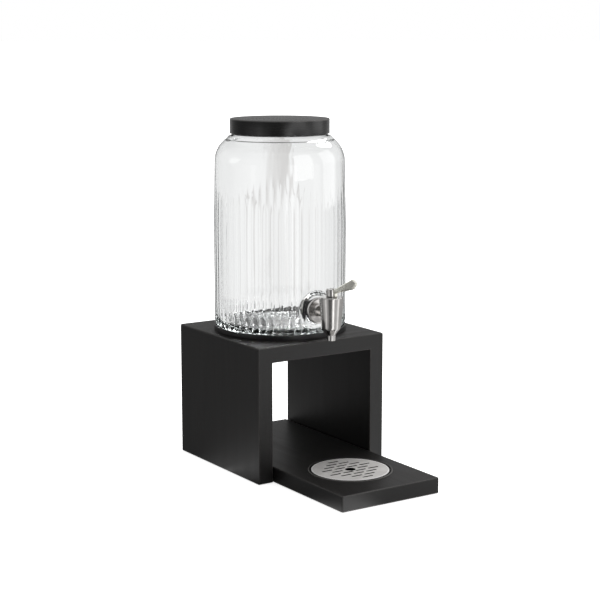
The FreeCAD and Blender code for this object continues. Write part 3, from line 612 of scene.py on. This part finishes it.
def hole_tube(rims, spots, faces):
    """Joins the two mouths of the tap's hole, matching their points by angle."""
    def order(rim):
        return sorted(rim, key=lambda v: math.atan2(spots[v][2] - JAR_BASE - HOLE_UP,
                                                    spots[v][0] - JAR_AXIS[0]))

    outer, inner = order(rims[0]), order(rims[1])
    bridge = []
    a, b = 0, 0

    def angle(loop, i):
        v = loop[i % len(loop)]
        turn = math.atan2(spots[v][2] - JAR_BASE - HOLE_UP, spots[v][0] - JAR_AXIS[0])
        return turn + 2 * math.pi * (i // len(loop))

    while a < len(outer) or b < len(inner):
        take_outer = b >= len(inner) or (a < len(outer) and angle(outer, a + 1) <= angle(inner, b + 1))
        o, i = outer[a % len(outer)], inner[b % len(inner)]
        if take_outer:
            bridge.append([o, outer[(a + 1) % len(outer)], i])
            a += 1
        else:
            bridge.append([o, inner[(b + 1) % len(inner)], i])
            b += 1
    faces.extend(bridge)


# ---------------------------------------------------------------------- lid

LID_TOP_T, LID_SKIRT_T = 0.0035, 0.002
PLUG_R, PLUG_T, PLUG_DEEP = 0.0647, 0.0022, 0.012


def jar_lid(material):
    """The lid's disc and skirt, with a ring below that plugs into the jar's mouth."""
    radius, tall = LID_HIGH.x - JAR_AXIS[0], LID_HIGH.z - LID_LOW.z
    ceiling = tall - LID_TOP_T
    skirt, plug_end = radius - LID_SKIRT_T, ceiling - PLUG_DEEP
    outline = softened([
        (0.0, ceiling, 0), (PLUG_R - PLUG_T, ceiling, 0.0008), (PLUG_R - PLUG_T, plug_end, 0.0006),
        (PLUG_R, plug_end, 0.0006), (PLUG_R, ceiling, 0.0005), (skirt, ceiling, 0.0005),
        (skirt, 0.0, 0.0004), (radius, 0.0, 0.0006), (radius, tall, 0.0013), (0.0, tall, 0),
    ], 5)
    piece = lathe("moulded_lid", outline, (JAR_AXIS[0], JAR_AXIS[1], LID_LOW.z), material, 224)
    return stands_for(piece, "lid", "lid_plastic", "lid")


# ------------------------------------------------------------- return spring

def wound_spring(material):
    """The return spring as a swept wire."""
    low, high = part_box("return_spring")
    centre = (low + high) / 2
    wire = 0.0005
    radius = (high.x - low.x) / 2 - wire
    turns, per_turn = 6, 20
    curve = bpy.data.curves.new("wound_spring", "CURVE")
    curve.dimensions = "3D"
    curve.bevel_depth = wire
    curve.bevel_resolution = 3
    curve.use_fill_caps = True
    line = curve.splines.new("POLY")
    count = turns * per_turn
    line.points.add(count)
    for i in range(count + 1):
        a = 2 * math.pi * i / per_turn
        z = low.z + wire + (high.z - low.z - 2 * wire) * i / count
        line.points[i].co = (centre.x + radius * math.cos(a), centre.y + radius * math.sin(a), z, 1)
    bent = bpy.data.objects.new("spring_line", curve)
    bpy.context.scene.collection.objects.link(bent)
    mesh = bpy.data.meshes.new_from_object(bent)
    bpy.data.objects.remove(bent)
    mesh.materials.clear()
    mesh.materials.append(material)
    mesh.shade_smooth()
    piece = bpy.data.objects.new("wound_spring", mesh)
    bpy.context.scene.collection.objects.link(piece)
    stands_for(piece, "jar", "spring_steel", "return_spring")
    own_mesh(piece)
    return piece


# -------------------------------------------------------------------- studio

def by_turn(n, way, stops):
    """A grey level by the direction round the object: 0 degrees in front, 90 on its right."""
    turn = n.math("ARCTAN2", way.outputs["X"], n.math("MULTIPLY", way.outputs["Y"], -1.0))
    place = n.span(turn, -math.pi, math.pi)
    return turn, n.ramp(place, [((a + 180) / 360, shade) for a, shade in stops])


def panel(name, turn, width, low, high, shine):
    """A softbox that stands at a distance from the jar's axis and isn't seen directly."""
    lamp = bpy.data.lights.new(name, "AREA")
    lamp.shape = "RECTANGLE"
    lamp.size, lamp.size_y = width, high - low
    lamp.energy = shine * math.pi * width * (high - low)
    box = bpy.data.objects.new(name, lamp)
    angle = math.radians(turn)
    box.location = (JAR_AXIS[0] + PANEL_AWAY * math.sin(angle),
                    JAR_AXIS[1] - PANEL_AWAY * math.cos(angle), (low + high) / 2)
    box.rotation_euler = (math.pi / 2, 0, angle)
    box.visible_camera = False
    bpy.context.scene.collection.objects.link(box)


def pale_floor():
    """White to the camera, with faint shadows. What glass and steel see of it varies round the object."""
    tools = bmesh.new()
    bmesh.ops.create_circle(tools, cap_ends=True, radius=FLOOR_R, segments=64)
    mesh = bpy.data.meshes.new("floor")
    tools.to_mesh(mesh)
    tools.free()
    material, n = new_material("pale_floor")
    cloud = n.noise(n.place(), 6.0, 3.0)
    matt = n.add("ShaderNodeBsdfDiffuse", {"Color": n.ramp(cloud, [(0.3, 0.83), (0.7, 0.85)])})
    lift = n.add("ShaderNodeEmission", {"Color": (1, 1, 1, 1), "Strength": FLOOR_LIFT})
    seen = n.add("ShaderNodeAddShader")
    n.feed(seen.inputs[0], matt.outputs[0])
    n.feed(seen.inputs[1], lift.outputs[0])
    way, away = n.about(JAR_AXIS)
    turn, level = by_turn(n, way, FLOOR)
    path = n.add("ShaderNodeLightPath")
    band = n.ramp(n.span(turn, math.radians(BAND_FROM), math.radians(BAND_TO)), BAND)
    far = n.span(away, NEAR_REACH, FAR_REACH)
    behind = n.mix(far, by_turn(n, way, BEHIND)[1], by_turn(n, way, FAR_BEHIND)[1])
    through = n.add("ShaderNodeVectorMath", operation="MULTIPLY")
    n.feed(through.inputs[0], behind)
    n.feed(through.inputs[1], band)
    through = through.outputs[0]
    level = n.mix(path.outputs["Is Transmission Ray"], level, through)
    glow = n.add("ShaderNodeEmission", {"Color": level, "Strength": 1.0})
    choice = n.add("ShaderNodeMixShader", {"Fac": path.outputs["Is Camera Ray"]})
    n.feed(choice.inputs[1], glow.outputs[0])
    n.feed(choice.inputs[2], seen.outputs[0])
    output = n.add("ShaderNodeOutputMaterial")
    n.feed(output.inputs["Surface"], choice.outputs[0])
    material.cycles.emission_sampling = "NONE"
    mesh.materials.append(material)
    floor = bpy.data.objects.new("floor", mesh)
    bpy.context.scene.collection.objects.link(floor)


def studio():
    """A pale floor, two softboxes, a soft sun and a dome whose light varies round the object."""
    pale_floor()
    panel("key_panel", 10.0, 1.25, 0.32, 2.0, 1.2)
    panel("side_panel", 64.0, 1.20, 0.22, 1.8, 1.0)
    lamp = bpy.data.lights.new("soft_sun", "SUN")
    lamp.energy = SUN_POWER
    lamp.angle = SUN_SPREAD
    sun = bpy.data.objects.new("soft_sun", lamp)
    sun.rotation_euler = (SUN_DOWN, 0, SUN_TURN)
    sun.visible_glossy = False
    bpy.context.scene.collection.objects.link(sun)

    world = bpy.data.worlds.new("studio")
    bpy.context.scene.world = world
    world.use_nodes = True
    n = Nodes(world.node_tree)
    way = n.add("ShaderNodeSeparateXYZ", {"Vector": n.add("ShaderNodeTexCoord").outputs["Generated"]})
    sides = by_turn(n, way, DOME)[1]
    height = n.span(way.outputs["Z"], DOME_FROM, DOME_TO)
    light = n.mix(height, sides, (DOME_TOP, DOME_TOP, DOME_TOP, 1))
    path = n.add("ShaderNodeLightPath")
    through = n.ramp(way.outputs["Z"], DOME_BEHIND)
    light = n.mix(path.outputs["Is Transmission Ray"], light, through)
    light = n.mix(path.outputs["Is Camera Ray"], light, (1, 1, 1, 1))
    shine = n.add("ShaderNodeBackground", {"Color": light, "Strength": 1.0})
    output = n.add("ShaderNodeOutputWorld")
    n.tree.links.new(shine.outputs[0], output.inputs["Surface"])
    bpy.context.scene.view_settings.view_transform = "Standard"


# Brightness by direction: degrees round the object, 0 in front, 90 on its right. Steel, wood and plastic
# reflect FLOOR and DOME. Glass is seen through to BEHIND near the object, FAR_BEHIND further off, a faint
# grey BAND behind the jar, and above the floor DOME_BEHIND, which goes by height.
FLOOR = [
    (-180, 0.50), (-165, 0.22), (-125, 0.18), (-100, 0.50), (-86, 0.55), (-82, 1.1), (-77, 1.1),
    (-73, 0.50), (-58, 0.42), (-50, 0.12), (-24, 0.14), (-14, 2.0), (-7, 2.0), (-2, 0.55), (12, 0.60),
    (25, 0.72), (29, 1.35), (38, 1.35), (46, 0.50), (80, 0.48), (100, 0.34), (112, 0.50), (146, 0.55),
    (180, 0.50),
]
BEHIND = [
    (-180, 0.96), (-150, 0.85), (-125, 0.20), (40, 0.20), (80, 0.50), (100, 0.66),
    (116, 0.80), (146, 0.925), (172, 1.00), (180, 0.96),
]
NEAR_REACH, FAR_REACH = 0.7, 1.2
FAR_BEHIND = [
    (-180, 0.96), (-150, 0.85), (-132, 0.58), (-112, 0.80), (-95, 0.86), (20, 0.86), (45, 0.53),
    (78, 0.50), (100, 0.66), (116, 0.80), (146, 0.925), (172, 1.00), (180, 0.96),
]
DOME = [
    (-180, 0.34), (-150, 0.19), (-60, 0.18), (-20, 0.15), (0, 0.5), (60, 0.5), (75, 0.28),
    (105, 0.30), (120, 0.34), (180, 0.34),
]
DOME_TOP, DOME_FROM, DOME_TO = 0.80, 0.45, 0.85
DOME_BEHIND = [(0.0, 0.90), (0.30, 0.90), (0.60, 0.30), (1.0, 0.25)]
BAND_FROM, BAND_TO = 143.0, 151.0
BAND = [
    (0.0, 1.0), (0.425, 0.99), (0.455, (0.735, 0.720, 0.712)), (0.50, (0.75, 0.737, 0.73)),
    (0.60, (0.83, 0.82, 0.815)), (0.72, 1.0), (1.0, 1.0),
]
FLOOR_R, FLOOR_LIFT = 60.0, 0.74
PANEL_AWAY = 2.0
SUN_POWER, SUN_SPREAD = 3.2, math.radians(34)
SUN_DOWN, SUN_TURN = math.radians(48), math.radians(112)

add_camera()
studio()

dress(stained_wood("black_wood_left", "left_side_board", "Z"), "left_side_board")
dress(stained_wood("black_wood_right", "right_side_board", "Z"), "right_side_board")
dress(stained_wood("black_wood_top", "top_board", "X"), "top_board")
dress(stained_wood("black_wood_drip", "drip_board", "Y"), "drip_board")
dress(plain_wood("beech"), "corner_dowels")
dress(moulded("foot_rubber", (0.022, 0.022, 0.022), 0.75), "stand_feet", "drip_board_feet")
dress(moulded("mat_rubber", (0.016, 0.016, 0.016), 0.7, 500.0, 0.0001), "jar_mat")
dress(moulded("seal_rubber", (0.012, 0.012, 0.012), 0.55),
      "outer_seal", "inner_seal", "bonnet_o_ring", "stem_o_rings")
dress(moulded("clear_silicone", (0.55, 0.56, 0.55), 0.4), "lid_seal", "valve_washer")
ring_plastic = turned_plastic("ring_plastic", JAR_AXIS, (0.010, 0.010, 0.010), 0.32)
dress(ring_plastic, "seat_ring")
dish_low, dish_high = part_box("drip_dish")
dish_axis = ((dish_low.x + dish_high.x) / 2, (dish_low.y + dish_high.y) / 2)
# Painted highlight: a light ring on the outer top edge of the dish's flange.
dish_highlight = ((dish_high.x - dish_low.x) / 2, dish_high.z, (0.085, 0.083, 0.080))
dish_plastic = turned_plastic("dish_plastic", dish_axis, (0.002, 0.002, 0.002), 0.45, dish_highlight, 0.08)
dress(dish_plastic, "drip_dish")
grate_low, grate_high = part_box("drip_grate")
dress(punched_steel("grate_steel", dish_axis, (grate_high.x - grate_low.x) / 2), "drip_grate")
tap_steel = steel("tap_steel", (1.0, 1.0, 7.0))
dress(tap_steel, "tap_body", "tap_rose", "tap_bonnet", "valve_stem")
# Painted reflection: the lever's steel is a lighter, olive-tinted copy of the tap's steel, standing in for
# the bright surroundings its side reflects.
dress(steel("lever_steel", (3.0, 0.5, 3.0), (0.90, 0.89, 0.81), (0.20, 0.30), 0.00004, 0.75), "lever")
washer_steel = steel("washer_steel", (1.0, 1.0, 1.0), (0.56, 0.55, 0.53), (0.3, 0.42))
dress(washer_steel, "steel_washer", "clamp_nut", "lever_pin", "ring_screws")

glass_jar(clear_glass())
# Painted highlight: a light line along the lid's top outer edge.
lid_highlight = ((LID_HIGH.x - LID_LOW.x) / 2, LID_HIGH.z, (0.075, 0.072, 0.070))
jar_lid(turned_plastic("lid_plastic", JAR_AXIS, (0.0085, 0.0080, 0.0077), 0.25, lid_highlight))
wound_spring(steel("spring_steel", (1.0, 1.0, 1.0), (0.45, 0.45, 0.45), (0.25, 0.4)))
